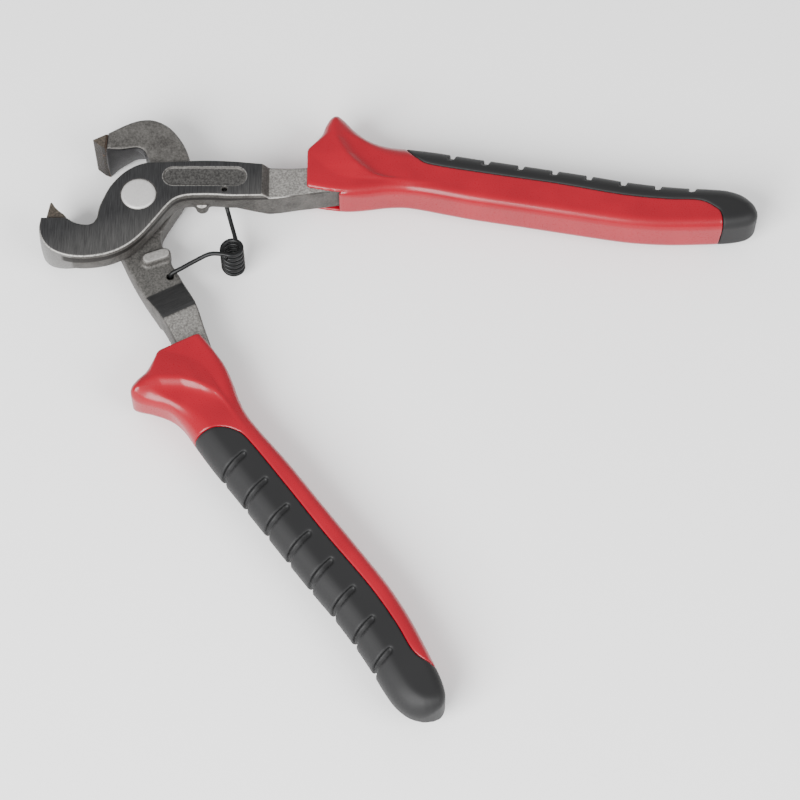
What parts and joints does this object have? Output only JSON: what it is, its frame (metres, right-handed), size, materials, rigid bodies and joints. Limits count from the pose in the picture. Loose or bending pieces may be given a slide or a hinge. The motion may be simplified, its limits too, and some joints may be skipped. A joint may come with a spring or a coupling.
{
  "type": "tile nippers",
  "caption": "Hand nippers for ceramic tile: two forged levers crossing at a riveted lap joint, brazed carbide cutting tips, a torsion return spring and two-part moulded grips.",
  "frame": {"origin": "on the rivet's axis, at the flat face of its lower head", "axes": "+Z along the rivet's axis, up through both levers; +X down the front lever's handle; +Y away from the rear handle"},
  "size_m": [0.2249, 0.2039, 0.0188],
  "materials": {
    "forged_steel": "forged, ground on the hub faces",
    "rivet_steel": "satin",
    "carbide": "matt, ground edge",
    "braze": "dull copper",
    "red_plastic": "gloss",
    "black_cushion": "matt",
    "spring_steel": "black oxide"
  },
  "bodies": {
    "front_lever_body": {"front_lever": "forged_steel", "pivot_rivet": "rivet_steel", "front_carbide_tip": "carbide", "front_braze_layer": "braze", "front_grip_shell": "red_plastic", "front_grip_cushion": "black_cushion"},
    "rear_lever_body": {"rear_lever": "forged_steel", "rear_carbide_tip": "carbide", "rear_braze_layer": "braze", "rear_grip_shell": "red_plastic", "rear_grip_cushion": "black_cushion"},
    "spring_coil_body": {"spring_coil": "spring_steel"},
    "spring_leg_body": {"spring_rear_leg": "spring_steel"}
  },
  "joints": [
    {"name": "handles_close", "type": "hinge", "parent": "front_lever_body", "child": "rear_lever_body", "pos_m": [0, 0, 0.0086], "axis": [0, 0, 1], "range_deg": [0, 54], "stiffness_Nm_per_rad": 0.8, "springref_deg": -5.73},
    {"name": "spring_in_front_hole", "type": "hinge", "parent": "front_lever_body", "child": "spring_coil_body", "pos_m": [0.0269, 0.0019, 0.0086], "axis": [0, 0, 1], "range_deg": [0, 66.48]},
    {"name": "spring_winds", "type": "hinge", "parent": "spring_coil_body", "child": "spring_leg_body", "pos_m": [0.02957, -0.01812, 0.0086], "axis": [0, 0, 1], "range_deg": [-78.94, 0]}
  ],
  "couplings": [
    {"joint": "spring_in_front_hole", "follows": "handles_close", "ratio": 1.2308},
    {"joint": "spring_winds", "follows": "handles_close", "ratio": -1.4615}
  ]
}
